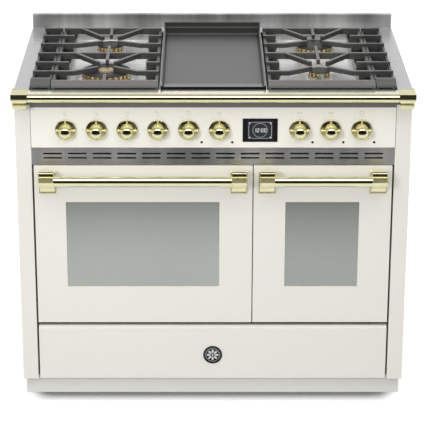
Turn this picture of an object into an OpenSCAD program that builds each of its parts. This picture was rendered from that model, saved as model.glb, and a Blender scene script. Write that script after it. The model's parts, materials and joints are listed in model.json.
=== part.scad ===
/* [Overall] */
// Width over the two side panels
body_w = 1000; // [960:5:1200]
// Height of the worktop rim above the floor
worktop_h = 850; // [840:1:900]
// Depth from the face of the doors to the back panel
body_d = 612; // [600:1:650]
// Height of the upstand behind the hob
upstand_h = 38; // [20:1:80]
// Height of the plinth
plinth_h = 52; // [44:1:60]
// How far the plinth is set back
plinth_set = 25; // [15:1:50]
// Width of the enamelled column beside the doors
column_w = 39.4; // [34:0.2:44]
// Sheet thickness of casings
sheet_t = 1.5; // [1:0.1:2]

/* [Doors and drawer] */
// Middle of the gap between the two doors, from the centre line
split_x = 102.2; // [80:1:120]
// Gap round a door or the drawer
door_gap = 2.4; // [2:0.1:3]
// Gap between the columns and the doors
side_gap = 4.6; // [3:0.1:6]
// Bottom edge of the doors
door_z0 = 215.4; // [213:0.2:220]
// From the worktop rim down to the doors
door_drop = 200.4; // [200:0.2:210]
// Thickness of a door
door_t = 38; // [36:0.5:40]
// Gap between the drawer front and the doors
drawer_gap = 10.8; // [9.8:0.2:24]
// How far the drawer runs back
drawer_depth = 480; // [400:5:500]
// Width of the left window
window_l = 393; // [360:1:400]
// Width of the right window
window_r = 189; // [160:1:200]
// Height of both windows
window_h = 233; // [200:1:240]
// From a door's top edge down to its window
window_drop = 99.1; // [90:0.1:110]
// From the left door's outer edge to its window
window_in_l = 79.5; // [60:0.5:90]
// From the right door's outer edge to its window
window_in_r = 81.5; // [60:0.5:90]

/* [Handles] */
// Diameter of a handle bar
bar_dia = 26; // [20:0.5:28]
// From a door's top edge down to its handle axis
bar_drop = 29.6; // [28:0.1:36]
// How far the handle axis stands in front of the door
bar_reach = 38; // [36:0.5:46]
// Width of a handle bracket
bracket_w = 38; // [30:0.5:42]

/* [Controls] */
// From the worktop rim down to the knob axes
knob_drop = 104; // [100:0.5:108]
// Spacing of the six left knobs
knob_pitch = 77.5; // [74:0.5:78]
// Spacing of the three right knobs
knob_pitch_right = 78; // [74:0.5:79]
// Skirt diameter of a knob
knob_dia = 54; // [44:0.5:56]
// How far a knob stands out of the panel
knob_reach = 40; // [36:0.5:42]
// Width of the display
display_w = 88; // [80:1:92]
// Height of the display
display_h = 61.5; // [50:0.5:64]

/* [Hob] */
// Depth of the front burners
burner_d1 = 165; // [155:1:175]
// From the hob's rear edge forward to the rear burners
burner_back = 137; // [130:1:144]
// Height of the grates above the worktop rim
grate_rise = 18; // [10:1:22]
// Width of the griddle
griddle_w = 264; // [240:1:266]
// Width of a side grate
side_grate_w = 50.5; // [44:0.5:56]

/* [Hidden] */
$fn = 48;

cream = [0.92, 0.91, 0.87];
steel = [0.72, 0.72, 0.71];
brass = [0.85, 0.75, 0.48];
iron = [0.2, 0.2, 0.2];
black = [0.06, 0.06, 0.07];
zinc = [0.6, 0.62, 0.62];
enamel = [0.3, 0.32, 0.34];
wool = [0.85, 0.82, 0.7];
window_tint = [0.6, 0.66, 0.62, 0.5];
rubber_grey = [0.25, 0.25, 0.26];

// Depths are counted back from the face of the doors, which lies at front_y.
bracket_reach = bar_reach + 14;
front_y = (bracket_reach - body_d) / 2;
half_w = body_w / 2;
eps = 0.5;

// Front layout
column_x = half_w - column_w;
door_x = column_x - side_gap;
skirt_h = 38;
panel_h = 107;
panel_under = 45;
strip_gap = 2.2;
side_z1 = worktop_h - skirt_h;
panel_z1 = worktop_h - panel_under;
panel_z0 = panel_z1 - panel_h;
door_z1 = worktop_h - door_drop;
strip_z0 = door_z1 + strip_gap;
window_z = door_z1 - window_drop - window_h;
window_left_x = -door_x + window_in_l;
window_right_x = door_x - window_in_r - window_r;
bar_z = door_z1 - bar_drop;
door_left = [-door_x, split_x - door_gap / 2];
door_right = [split_x + door_gap / 2, door_x];
door_ranges = [door_left, door_right];

// Door build: the skin is a shallow pan and the liner closes it from behind
skin_d = 8;
glass_t = 4;
glass_lap = 12;
pin_d = 14;
pin_z = door_z0 + 11;
pin_r = 4;
pin_clear = 0.05;
arm_w = 6;
arm_h = 10;
arm_inset = 42;
lug_w = 8;
lug_r = 8;
frame_d = 42;

// Oven cavities
cavity_z0 = door_z0 + 34;
cavity_z1 = door_z1 - 26;
cavity_back = body_d - 112;
cavity_left = [-door_x + 31, split_x - 32];
cavity_right = [split_x + 32, door_x - 31];
cavity_ranges = [cavity_left, cavity_right];
wool_t = 25;
fan_r = 62;
fan_z = (cavity_z0 + cavity_z1) / 2;

// Knob places, from left to right
knob_z = worktop_h - knob_drop;
knob_first = -372;
knob_first_right = 218;
knob_xs = [for (i = [0:8]) i < 6 ? knob_first + i * knob_pitch
  : knob_first_right + (i - 6) * knob_pitch_right];
gas_count = 4;
stem_r = 3;
stem_clear = 0.05;
stem_end = 26;
plug_r = 7;
lamp_dx = 33;
lamp_dz = -34;
lamp_r = 3;
display_x = 118.5;
display_z = knob_z - 1.8;
inlet_x = -half_w + 66;
rail_d = 69;

// Worktop levels
rim_in = 38;
land_z = worktop_h - 12;
pan_z = worktop_h - 24;
rear_ledge = 63;
hob_d0 = 3;
hob_d1 = body_d - rear_ledge;
pan_half = 98.5;
pan_d0 = hob_d0 + 29;
pan_d1 = hob_d1 - 37;
dome_h = 8;
dome_top = pan_z + dome_h;
mat_half = 95;
mat_d0 = hob_d0 + 77;
mat_d1 = hob_d1 - 79;

// Grates, from the side grate inward. A row plate crosses at each of row_ds.
grate_top = worktop_h + grate_rise;
side_x1 = half_w - rim_in - 2;
side_x0 = side_x1 - side_grate_w;
grate_x1 = side_x0 - 2.5;
grate_x0 = griddle_w / 2 + 6.5;
burner_out = 2.25;
burner_x = (grate_x0 + grate_x1) / 2 + burner_out;
burner_d2 = hob_d1 - burner_back;
row_ds = [burner_d2 + 110, burner_d2 + 36, burner_d2 - 45,
  burner_d1 + 110, burner_d1 + 23, burner_d1 - 59, burner_d1 - 124];
bar_w = 8;
plate_h = 17;
finger_h = 12.5;
block_w = 34;

// Front rail
rail_reach = 45;
rail_back = 3;
cap_w = 42;
cap_over = 4.5;

// Burners: side, depth, ring radius and dome base of each
burners = [
  [-burner_x, burner_d1, 63.5, 168],
  [-burner_x, burner_d2, 35, 146],
  [burner_x, burner_d2, 50, 150],
  [burner_x, burner_d1, 28, 130]];

// Drawer
drawer_x = door_x;
drawer_z0 = plinth_h + 2;
drawer_z1 = door_z0 - drawer_gap;
fold_in = 6;
drawer_t = 18;
box_x = door_x - 26;
box_z0 = plinth_h + 10;
box_z1 = plinth_h + 113;
runner_z = plinth_h + 58;
flange_w = 6;
slide_clear = 0.3;

module front() translate([0, front_y, 0]) children();

// A block given by its two corners
module block(a, b) translate(a) cube(b - a);

// A rod between two depths, along the depth axis
module rod_y(x, z, d0, d1, r) {
  translate([x, d0, z]) rotate([-90, 0, 0]) cylinder(h = d1 - d0, r = r);
}

// A rod along the width
module rod_x(x0, x1, d, z, r) {
  translate([x0, d, z]) rotate([0, 90, 0]) cylinder(h = x1 - x0, r = r);
}

// A depth and height outline drawn out along the width
module along_x(x0, x1) {
  translate([x0, 0, 0]) rotate([90, 0, 90]) linear_extrude(height = x1 - x0) children();
}

module both_sides() {
  children();
  mirror([1, 0, 0]) children();
}

// An open box with one wall missing at its top
module open_tray(a, b, t) {
  difference() {
    block(a, b);
    block([a[0] + t, a[1] + t, a[2] + t], [b[0] - t, b[1] - t, b[2] + eps]);
  }
}

// Casing

module base_pan() color(zinc) front() {
  wall_h = 26;
  h = plinth_h + wall_h;
  difference() {
    open_tray([-half_w + sheet_t, plinth_set, plinth_h],
      [half_w - sheet_t, body_d - sheet_t, h], sheet_t);
    block([-half_w, plinth_set - 1, plinth_h + sheet_t],
      [half_w, plinth_set + 2 * sheet_t, h + 1]);
  }
}

module plinth() color(cream) front() {
  x = half_w - 5;
  floor_gap = 1;
  side_d1 = body_d - 30;
  block([-x, plinth_set, floor_gap], [x, plinth_set + sheet_t, plinth_h]);
  both_sides() block([x - sheet_t, plinth_set, floor_gap], [x, side_d1, plinth_h]);
}

module feet() color(black) front() {
  pad_r = 22;
  pad_h = 8;
  stem_r = 6;
  inset = 60;
  for (x = [-half_w + inset, half_w - inset], d = [plinth_set + 40, body_d - inset])
    translate([x, d, 0]) {
      cylinder(h = pad_h, r = pad_r);
      cylinder(h = plinth_h, r = stem_r);
    }
}

module side_panel() front() {
  column_d = 60;
  block([half_w - sheet_t, 0, plinth_h], [half_w, body_d - sheet_t, side_z1]);
  block([column_x, 0, plinth_h], [half_w, sheet_t, side_z1]);
  block([column_x, 0, plinth_h + sheet_t], [column_x + sheet_t, column_d, side_z1]);
}

module side_panel_right() color(cream) side_panel();
module side_panel_left() color(cream) mirror([1, 0, 0]) side_panel();

module back_panel() color(zinc) front() {
  slot_pitch = 60;
  slot_w = 44;
  slot_h = 6;
  slot_z = plinth_h + 98;
  slot_step = 30;
  inlet_hole_r = 26;
  difference() {
    block([-half_w, body_d - sheet_t, plinth_h], [half_w, body_d, worktop_h - sheet_t]);
    for (i = [-4:4], z = [slot_z, slot_z + slot_step])
      block([i * slot_pitch - slot_w / 2, body_d - 3, z],
        [i * slot_pitch + slot_w / 2, body_d + 1, z + slot_h]);
    rod_y(inlet_x, knob_z, body_d - 5, body_d + 5, inlet_hole_r);
  }
}

// Hob

// A pressed square dome under a burner
module dome(base, r, drop) {
  linear_extrude(height = dome_top - pan_z, scale = 2 * (r + 6) / base)
    square(base - 2 * drop, center = true);
}

module worktop_shell() {
  hx = half_w - rim_in;
  block([-half_w, -rail_back, worktop_h - sheet_t], [half_w, body_d, worktop_h]);
  block([-half_w, -rail_back, side_z1], [half_w, -rail_back + sheet_t, worktop_h]);
  block([-column_x, -rail_back, panel_z1], [column_x, -rail_back + sheet_t, worktop_h]);
  both_sides() block([half_w - sheet_t, -rail_back, side_z1],
    [half_w, body_d - sheet_t, worktop_h]);
  block([-hx - sheet_t, hob_d0 - sheet_t, land_z - sheet_t],
    [hx + sheet_t, hob_d1 + sheet_t, worktop_h]);
  both_sides() block([burner_x - pan_half - sheet_t, pan_d0 - sheet_t, pan_z - sheet_t],
    [burner_x + pan_half + sheet_t, pan_d1 + sheet_t, land_z]);
}

module worktop() color(steel) front() {
  hx = half_w - rim_in;
  throat_clear = 1;
  mat_clear = 5;
  difference() {
    union() {
      difference() {
        worktop_shell();
        block([-hx, hob_d0, land_z], [hx, hob_d1, worktop_h + eps]);
        both_sides() block([burner_x - pan_half, pan_d0, pan_z],
          [burner_x + pan_half, pan_d1, worktop_h]);
        block([-mat_half - mat_clear, mat_d0 - 2 * mat_clear, land_z - 5],
          [mat_half + mat_clear, mat_d1 + 2 * mat_clear, land_z + eps]);
      }
      for (b = burners) translate([b[0], b[1], pan_z]) dome(b[3], b[2], 0);
      both_sides() block([griddle_w / 2 + 1, hob_d0, land_z],
        [griddle_w / 2 + 1 + sheet_t, hob_d1, worktop_h + 1]);
    }
    for (b = burners) {
      translate([b[0], b[1], pan_z - sheet_t]) dome(b[3], b[2] - sheet_t, sheet_t);
      translate([b[0], b[1], pan_z - 5])
        cylinder(h = 20, r = throat(b) + throat_clear);
    }
  }
}

module upstand() color(steel) front() {
  t = 14; // thickness of the folded box
  difference() {
    block([-half_w, body_d - t, worktop_h], [half_w, body_d, worktop_h + upstand_h]);
    block([-half_w + sheet_t, body_d - t + sheet_t, worktop_h - eps],
      [half_w - sheet_t, body_d - sheet_t, worktop_h + upstand_h - sheet_t]);
  }
}

// Rail section: a flat ledge with a half-round nose, rolled from sheet
module rail_section(inset) {
  r = 11;
  translate([-rail_reach + r, worktop_h - r]) circle(r = r - inset);
  translate([-rail_reach + r, worktop_h - 2 * r + inset])
    square([rail_reach - r - rail_back - inset, 2 * r - 2 * inset]);
}

module front_rail() color(brass) front() {
  x = half_w + cap_over - cap_w;
  along_x(-x, x) difference() {
    rail_section(0);
    rail_section(2);
  }
}

// Corner cap: an upper block, a groove and a lower tier that reaches the column's edge
module rail_corner() {
  x0 = half_w + cap_over - cap_w;
  x1 = half_w + cap_over;
  cap_back = 16;
  cap_lip = 1.5;
  upper_z = worktop_h - 24;
  lower_z = worktop_h - 27;
  groove = 1.5;
  step = 3;
  difference() {
    union() {
      block([x0, -rail_reach, upper_z], [x1, cap_back, worktop_h + cap_lip]);
      block([x0 + groove, -rail_reach + groove, lower_z - 1],
        [x1 - groove, cap_back - groove, upper_z + 1]);
      block([column_x, -rail_reach + step, side_z1], [x1 - step, cap_back - step, lower_z]);
    }
    block([column_x - eps, -rail_back, side_z1 - eps], [half_w, cap_back + 1, worktop_h]);
  }
}

module rail_corners() color(brass) front() both_sides() rail_corner();

function throat(b) = b[2] - 12;

module burner_base(b) {
  translate([b[0], b[1], 0]) {
    translate([0, 0, pan_z - 12]) cylinder(h = dome_top - pan_z + 12, r = throat(b));
    translate([0, 0, dome_top]) cylinder(h = 4, r = b[2] + 1);
    translate([0, 0, dome_top + 4]) difference() {
      cylinder(h = 8, r = b[2] - 8);
      translate([0, 0, 2]) cylinder(h = 8, r = b[2] - 12);
    }
  }
}

module burner_bases() color([0.75, 0.75, 0.76]) front() {
  for (b = burners) {
    burner_base(b);
    translate([b[0], b[1] - b[2] - 4.5, dome_top]) cylinder(h = 15, r = 2.5);
  }
}

module flame_rings() color(brass) front() {
  for (b = burners) translate([b[0], b[1], dome_top + 4]) difference() {
    cylinder(h = 9, r = b[2]);
    translate([0, 0, -eps]) cylinder(h = 12, r = b[2] - 7);
  }
  translate([burners[0][0], burners[0][1], dome_top + 6]) rotate_extrude()
    polygon([[0, 0], [20, 0], [20, 8], [24, 9], [24, 13], [20, 16], [0, 17]]);
}

module burner_caps() color(black) front() {
  z = dome_top + 13;
  for (i = [0:3]) translate([burners[i][0], burners[i][1], z]) {
    r = burners[i][2] + 1;
    inner = i == 0 ? 27 : 0;
    rotate_extrude()
      polygon([[inner, 0], [r, 0], [r, 3], [r - 3, 6], [inner, i == 0 ? 7 : 8]]);
  }
}

// Grates

// The plan of a finger that runs from one point of the hob to another
module finger(x0, d0, x1, d1) {
  run = sqrt((x1 - x0) * (x1 - x0) + (d1 - d0) * (d1 - d0));
  translate([x0, d0]) rotate(atan2(d1 - d0, x1 - x0))
    translate([0, -bar_w / 2]) square([run, bar_w]);
}

// The plan of a finger that leaves a block square to it and then bends to the burner
module bent_finger(edge, d0, bend, x1, d1) {
  finger(edge, d0, bend, d0);
  finger(bend, d0, x1, d1);
  translate([bend, d0]) circle(r = bar_w / 2 + 0.6);
}

module row_plate(x0, x1, d) {
  block([x0, d, grate_top - plate_h], [x1, d + bar_w, grate_top]);
}

// Diagonal fingers round one burner, from the row behind it and the row before it
module burner_fingers(d, back_row, front_row) {
  start = 82;
  tip = 21;
  for (s = [-1, 1]) {
    edge = s > 0 ? grate_x1 - block_w + 1 : grate_x0 + block_w - 1;
    finger(burner_x + s * start, back_row + 2, burner_x + s * tip, d + 28);
    bent_finger(edge, front_row + bar_w / 2, burner_x + s * start, burner_x + s * tip, d - 14);
  }
  finger(burner_x, back_row + 2, burner_x, d + 44);
}

// The sloped bar along a grate's front edge
module ramp(x0, x1, d0, d1) {
  z = worktop_h + 3;
  drop = 9;
  along_x(x0, x1) polygon([[d0, z], [d0, grate_top - drop], [d1, grate_top],
    [d1 + bar_w, grate_top], [d1 + bar_w, z]]);
}

// A side bar of a grate with the three feet that stand on the hob
module grate_side(x, w, drop) {
  foot_d = 12;
  block([x, foot_d, worktop_h + 1], [x + w, row_ds[0] + bar_w, grate_top - drop]);
  for (d = [14, row_ds[3], row_ds[0] - 4])
    block([x, d, land_z], [x + w, d + foot_d, grate_top - drop]);
}

module grate() {
  for (r = [0, 3]) row_plate(grate_x0, grate_x1, row_ds[r]);
  for (r = [1, 2, 4, 5]) {
    row_plate(grate_x1 - block_w, grate_x1, row_ds[r]);
    row_plate(grate_x0, grate_x0 + block_w, row_ds[r]);
  }
  for (x = [grate_x0, grate_x1 - bar_w]) grate_side(x, bar_w, 6);
  ramp(grate_x0, grate_x1, 8, 20);
  translate([0, 0, grate_top - finger_h]) linear_extrude(height = finger_h) {
    burner_fingers(burner_d2, row_ds[0], row_ds[2]);
    burner_fingers(burner_d1, row_ds[3], row_ds[5]);
    finger(burner_x, 24, burner_x, burner_d1 - 84);
    finger(burner_x, row_ds[3] + 2, burner_x, burner_d2 - 66);
  }
}

module grate_right() color(iron) front() grate();
module grate_left() color(iron) front() mirror([1, 0, 0]) grate();

module side_grate() {
  for (d = row_ds) row_plate(side_x0, side_x1, d);
  for (x = [side_x0, side_x1 - 6]) grate_side(x, 6, 8);
  ramp(side_x0, side_x1, 10, row_ds[6]);
}

module side_grate_right() color(iron) front() side_grate();
module side_grate_left() color(iron) front() mirror([1, 0, 0]) side_grate();

module griddle_plate() color([0.45, 0.46, 0.47]) front() {
  x = griddle_w / 2;
  d0 = hob_d0 + 3;
  d1 = hob_d1 - 3;
  floor_z = land_z + 7;
  along_x(-x, x) polygon([[d0, land_z], [d0, worktop_h + 6], [d0 + 28, worktop_h + 6],
    [d0 + 32, floor_z], [d1 - 13, floor_z], [d1 - 8, floor_z + 5], [d1 - 8, worktop_h + 16],
    [d1 - 6, worktop_h + 18], [d1 - 6, worktop_h + 30], [d1, worktop_h + 30], [d1, land_z]]);
  both_sides() along_x(x - 4, x)
    polygon([[d0, land_z], [d0, worktop_h + 8], [d0 + 8, worktop_h + 14],
      [d1 - 16, worktop_h + 14], [d1 - 4, worktop_h + 30], [d1, worktop_h + 30],
      [d1, land_z]]);
}

// Gas supply

module tap_body(x) {
  difference() {
    union() {
      rod_y(x, knob_z, 5, 60, 13);
      block([x - 16, sheet_t, knob_z - 16], [x + 16, 6, knob_z + 16]);
    }
    rod_y(x, knob_z, 8, 50, plug_r + stem_clear);
    rod_y(x, knob_z, 0, 9, stem_r + 1);
  }
}

module gas_rail() color(brass) front() {
  pipe_r = 9;
  nipple_r = 10.4;
  nipple_l = 18;
  for (i = [0:gas_count - 1]) tap_body(knob_xs[i]);
  rod_x(inlet_x, knob_xs[gas_count - 1] + 20, rail_d, knob_z, pipe_r);
  rod_y(inlet_x, knob_z, rail_d - pipe_r, body_d - nipple_l + eps, pipe_r);
  rod_y(inlet_x, knob_z, body_d - nipple_l, body_d, nipple_r);
}

module tap_plug(i) color([0.8, 0.68, 0.4]) front() {
  difference() {
    rod_y(knob_xs[i], knob_z, 10, 48, plug_r);
    rod_y(knob_xs[i], knob_z, 9, 44, stem_r + stem_clear);
  }
}

module tap_plug_1() tap_plug(0);
module tap_plug_2() tap_plug(1);
module tap_plug_3() tap_plug(2);
module tap_plug_4() tap_plug(3);

// Controls

module control_panel() color(cream) front() {
  top_fold = 60;
  bottom_fold = 30;
  hole_clear = 0.2;
  half_hole = [display_w / 2 + hole_clear, 5, display_h / 2 + hole_clear];
  difference() {
    union() {
      block([-column_x, 0, panel_z0], [column_x, sheet_t, panel_z1]);
      block([-column_x, 0, panel_z1 - sheet_t], [column_x, top_fold, panel_z1]);
      block([-column_x, 0, panel_z0], [column_x, bottom_fold, panel_z0 + sheet_t]);
    }
    for (x = knob_xs) rod_y(x, knob_z, -1, 5, stem_r + 2);
    for (i = [gas_count:8])
      rod_y(knob_xs[i] + lamp_dx, knob_z + lamp_dz, -1, 5, lamp_r + hole_clear);
    block([display_x, 0, display_z] - half_hole, [display_x, 0, display_z] + half_hole);
  }
}

module vent_strip() color(steel) front() {
  pitch = 62.6;
  slot_w = 47.3;
  slot_h = 4.7;
  row_step = 11.5;
  count = floor(2 * column_x / pitch);
  z = strip_z0 + 18.3;
  difference() {
    union() {
      block([-column_x, 0.5, strip_z0], [column_x, 0.5 + sheet_t, panel_z0]);
      block([-column_x, 0.5, strip_z0], [column_x, 25, strip_z0 + sheet_t]);
    }
    for (i = [0:count - 1], k = [0, row_step]) {
      x = (i - (count - 1) / 2) * pitch;
      block([x - slot_w / 2, 0, z + k - slot_h / 2], [x + slot_w / 2, 5, z + k + slot_h / 2]);
    }
  }
}

module display_unit() color(black) front() {
  w = display_w / 2;
  h = display_h / 2;
  flange = 4;
  case_d = 26;
  block([display_x - w, -1.5, display_z - h], [display_x + w, sheet_t, display_z + h]);
  block([display_x - w - flange, sheet_t, display_z - h + 1],
    [display_x + w + flange, case_d, display_z + h + flange]);
}

module indicator_lamps() color([0.7, 0.1, 0.08]) front() {
  for (i = [gas_count:8]) {
    rod_y(knob_xs[i] + lamp_dx, knob_z + lamp_dz, -1.5, 12, lamp_r);
    rod_y(knob_xs[i] + lamp_dx, knob_z + lamp_dz, sheet_t, 4, lamp_r + 1.5);
  }
}

// A turned knob, its outline given as radius and height above the panel
module knob(i) color(brass) front() {
  r = knob_dia / 2;
  clear = 4.2;
  translate([knob_xs[i], 0, knob_z]) rotate([90, 0, 0]) {
    rotate_extrude() polygon([[0, clear], [r - 1, clear], [r, clear + 1], [r, clear + 2.5],
      [r - 3, clear + 4.5], [r - 8, clear + 6], [r - 11, clear + 9], [r - 11, clear + 13],
      [r - 12.5, clear + 15], [r - 14.5, clear + 17], [r - 14.5, clear + 19],
      [r - 14, clear + 24], [r - 15, clear + 29], [r - 19, knob_reach - 1.5],
      [r - 23, knob_reach], [0, knob_reach]]);
    for (a = [0:90:270]) rotate([0, 0, a]) translate([0, 15, clear + 8]) rotate([-90, 0, 0])
      cylinder(h = a == 0 ? r - 12 : r - 16, r = 2.2);
    translate([0, 0, -stem_end]) cylinder(h = stem_end + 8, r = stem_r);
  }
}

module knob_1() knob(0);
module knob_2() knob(1);
module knob_3() knob(2);
module knob_4() knob(3);
module knob_5() knob(4);
module knob_6() knob(5);
module knob_7() knob(6);
module knob_8() knob(7);
module knob_9() knob(8);

module switch_bodies() color(rubber_grey) front() {
  half = 20;
  case_d = 40;
  for (i = [gas_count:8]) difference() {
    block([knob_xs[i] - half, sheet_t, knob_z - half],
      [knob_xs[i] + half, case_d, knob_z + half]);
    rod_y(knob_xs[i], knob_z, 0, stem_end + 6, stem_r + stem_clear);
  }
}

// Ovens

module oven_cavity(range, x0, x1) {
  t = sheet_t;
  fan_x = (range[0] + range[1]) / 2;
  difference() {
    union() {
      block([x0, frame_d, door_z0 - 6], [x1, frame_d + t, door_z1]);
      block([range[0] - t, frame_d, cavity_z0 - t], [range[1] + t, cavity_back + t, cavity_z1 + t]);
    }
    block([range[0], frame_d - 1, cavity_z0], [range[1], cavity_back, cavity_z1]);
    rod_y(fan_x, fan_z, cavity_back - 1, cavity_back + 5, 5);
  }
}

module oven_cavities() color(enamel) front() {
  joint_gap = 0.1;
  oven_cavity(cavity_left, -column_x, split_x - joint_gap);
  oven_cavity(cavity_right, split_x + joint_gap, column_x);
}

module insulation() color(wool) front() {
  t = sheet_t;
  w = wool_t;
  for (r = cavity_ranges) difference() {
    block([r[0] - t - w, frame_d + t, cavity_z0 - t - w],
      [r[1] + t + w, cavity_back + t + w, cavity_z1 + t + w - 3]);
    block([r[0] - t, frame_d, cavity_z0 - t], [r[1] + t, cavity_back + t, cavity_z1 + t]);
    rod_y((r[0] + r[1]) / 2, fan_z, cavity_back, cavity_back + 40, 8);
  }
}

// A side ladder: two posts and a rail at each level
module rack_ladder(x0, x1, d0, d1, levels) {
  w = 5;
  for (d = [d0 + 60, d1 - 60]) block([x0, d, cavity_z0 + 40], [x1, d + w, cavity_z1 - 50]);
  for (z = levels) block([x0, d0, z - 4], [x1 + 7, d1, z]);
}

// The wire shelves of one oven and the two side ladders that carry them
module oven_rack(range, levels) {
  x0 = range[0];
  x1 = range[1];
  d0 = frame_d + 34;
  d1 = cavity_back - 60;
  w = 5;
  seat = 0.2;
  middle = (x0 + x1) / 2;
  rack_ladder(x0, x0 + w, d0, d1, levels);
  translate([middle, 0, 0]) mirror([1, 0, 0]) translate([-middle, 0, 0])
    rack_ladder(x0, x0 + w, d0, d1, levels);
  for (z = levels) translate([0, 0, z + seat]) {
    for (d = [d0, d1 - w]) block([x0 + 7, d, 0], [x1 - 7, d + w, w]);
    for (x = [x0 + 7, x1 - 7 - w]) block([x, d0, 0], [x + w, d1, w]);
    n = floor((x1 - x0) / 34);
    for (i = [1:n]) {
      x = x0 + 8 + i * (x1 - x0 - 16) / (n + 1);
      block([x - 1.5, d0 + 1, 1], [x + 1.5, d1 - 1, w]);
    }
  }
}

rack_levels = [cavity_z0 + 105, cavity_z0 + 215];
module oven_racks() color(steel) front() {
  for (r = cavity_ranges) oven_rack(r, rack_levels);
}

// Grill bars under each oven roof, and the heating mat under the griddle
module heating_elements() color([0.3, 0.27, 0.26]) front() {
  w = 7;
  inset = 50;
  bars = 5;
  mat_t = 8;
  d0 = frame_d + 60;
  d1 = cavity_back - 73;
  z = cavity_z1 - 22;
  for (r = cavity_ranges) {
    x0 = r[0] + inset;
    x1 = r[1] - inset;
    for (d = [d0, d1 - w]) block([x0, d, z], [x1, d + w, z + w]);
    for (i = [0:bars]) {
      x = x0 + i * (x1 - x0 - w) / bars;
      block([x, d0, z], [x + w, i % bars == 0 ? cavity_back : d1, z + w]);
    }
  }
  block([-mat_half, mat_d0, land_z - mat_t], [mat_half, mat_d1, land_z]);
}

module fan(range) color([0.45, 0.45, 0.47]) front() {
  x = (range[0] + range[1]) / 2;
  d = cavity_back - 30;
  rod_y(x, fan_z, d + 20, d + 22, fan_r);
  rod_y(x, fan_z, d + 20, cavity_back + 44, 4);
  n = 12;
  for (i = [0:n - 1]) translate([x, d, fan_z]) rotate([0, i * 360 / n, 0])
    translate([fan_r - 22, 0, -1]) cube([20, 20.5, 2]);
}

module fan_left() fan(cavity_left);
module fan_right() fan(cavity_right);

module fan_motors() color(zinc) front() {
  d = cavity_back + sheet_t + wool_t;
  for (r = cavity_ranges) difference() {
    union() {
      rod_y((r[0] + r[1]) / 2, fan_z, d, d + 34, 34);
      block([(r[0] + r[1]) / 2 - 50, d, fan_z - 12], [(r[0] + r[1]) / 2 + 50, d + 3, fan_z + 12]);
    }
    rod_y((r[0] + r[1]) / 2, fan_z, d - 1, d + 24, 4.05);
  }
}

// Doors

function arm_xs(range) = [range[0] + arm_inset, range[1] - arm_inset];

module door_hinges() color(steel) front() {
  for (range = door_ranges, x = arm_xs(range)) {
    rod_x(x - arm_w / 2 - lug_w, x + arm_w / 2 + lug_w, pin_d, pin_z, pin_r);
    rod_x(x - arm_w / 2, x + arm_w / 2, pin_d, pin_z, arm_h / 2);
    block([x - arm_w / 2, pin_d, pin_z - arm_h / 2], [x + arm_w / 2, frame_d, pin_z + arm_h / 2]);
  }
}

module door_seals() color(rubber_grey) front() {
  w = 7;
  lap = 5;
  for (r = cavity_ranges) difference() {
    block([r[0] - lap - w, door_t + 0.3, cavity_z0 - lap - w],
      [r[1] + lap + w, frame_d, cavity_z1 + lap + w]);
    block([r[0] - lap, door_t, cavity_z0 - lap], [r[1] + lap, frame_d + 1, cavity_z1 + lap]);
  }
}

module door_skin(range, wx, ww) color(cream) front() {
  t = sheet_t;
  difference() {
    block([range[0], 0, door_z0], [range[1], skin_d, door_z1]);
    block([range[0] + t, t, door_z0 + t], [range[1] - t, skin_d + 1, door_z1 - t]);
    block([wx, -1, window_z], [wx + ww, t + 1, window_z + window_h]);
  }
}

module door_glass(wx, ww) color(window_tint) front() {
  back_d = door_t - sheet_t;
  block([wx - glass_lap, sheet_t, window_z - glass_lap],
    [wx + ww + glass_lap, sheet_t + glass_t, window_z + window_h + glass_lap]);
  block([wx - glass_lap, back_d - glass_t, window_z - glass_lap],
    [wx + ww + glass_lap, back_d, window_z + window_h + glass_lap]);
}

module hinge_lug(x0) {
  along_x(x0, x0 + lug_w) difference() {
    union() {
      translate([pin_d, pin_z]) circle(r = lug_r);
      translate([pin_d - lug_r + 2, door_z0 + sheet_t])
        square([2 * lug_r - 4, pin_z - door_z0 - sheet_t]);
    }
    translate([pin_d, pin_z]) circle(r = pin_r + pin_clear);
  }
}

module door_liner(range, wx, ww) color(enamel) front() {
  t = sheet_t;
  slot = arm_w / 2 + 1;
  difference() {
    block([range[0], skin_d, door_z0], [range[1], door_t, door_z1]);
    block([range[0] + t, skin_d - 1, door_z0 + t], [range[1] - t, door_t - t, door_z1 - t]);
    block([wx, door_t - t - 1, window_z], [wx + ww, door_t + 1, window_z + window_h]);
    for (x = arm_xs(range))
      block([x - slot, skin_d - 1, door_z0 - 1], [x + slot, door_t + 1, pin_z + arm_h / 2 + 2]);
  }
  for (x = arm_xs(range)) {
    hinge_lug(x + slot);
    hinge_lug(x - slot - lug_w);
  }
}

bracket_inset = 34;
function bracket_xs(range) = [range[0] + bracket_inset, range[1] - bracket_inset - 1];

module door_bar(range) color(brass) front() {
  xs = bracket_xs(range);
  difference() {
    rod_x(xs[0] + bracket_w / 2, xs[1] - bracket_w / 2, -bar_reach, bar_z, bar_dia / 2);
    rod_x(xs[0], xs[1], -bar_reach, bar_z, bar_dia / 2 - 2);
  }
}

module door_brackets(range) color(brass) front() {
  nose = bracket_reach;
  for (x = bracket_xs(range)) {
    along_x(x - bracket_w / 2 - 2.5, x + bracket_w / 2 + 2.5)
      polygon([[0, bar_z - 45], [-4, bar_z - 45], [-4, bar_z + 15], [0, bar_z + 15]]);
    along_x(x - bracket_w / 2, x + bracket_w / 2)
      polygon([[-4, bar_z - 39], [-9, bar_z - 36], [-12, bar_z - 29], [-20, bar_z - 23],
        [-24, bar_z - 16], [-nose + 12, bar_z - 14], [-nose + 5, bar_z - 10],
        [-nose + 1, bar_z - 5], [-nose, bar_z + 1], [-nose, bar_z + 13],
        [-nose + 1.5, bar_z + 14.5], [-nose + 7.5, bar_z + 14.5], [-nose + 8, bar_z + 23],
        [-nose + 9, bar_z + 24], [-nose + 30, bar_z + 24], [-nose + 31, bar_z + 12],
        [-4, bar_z + 12]]);
  }
}

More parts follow.
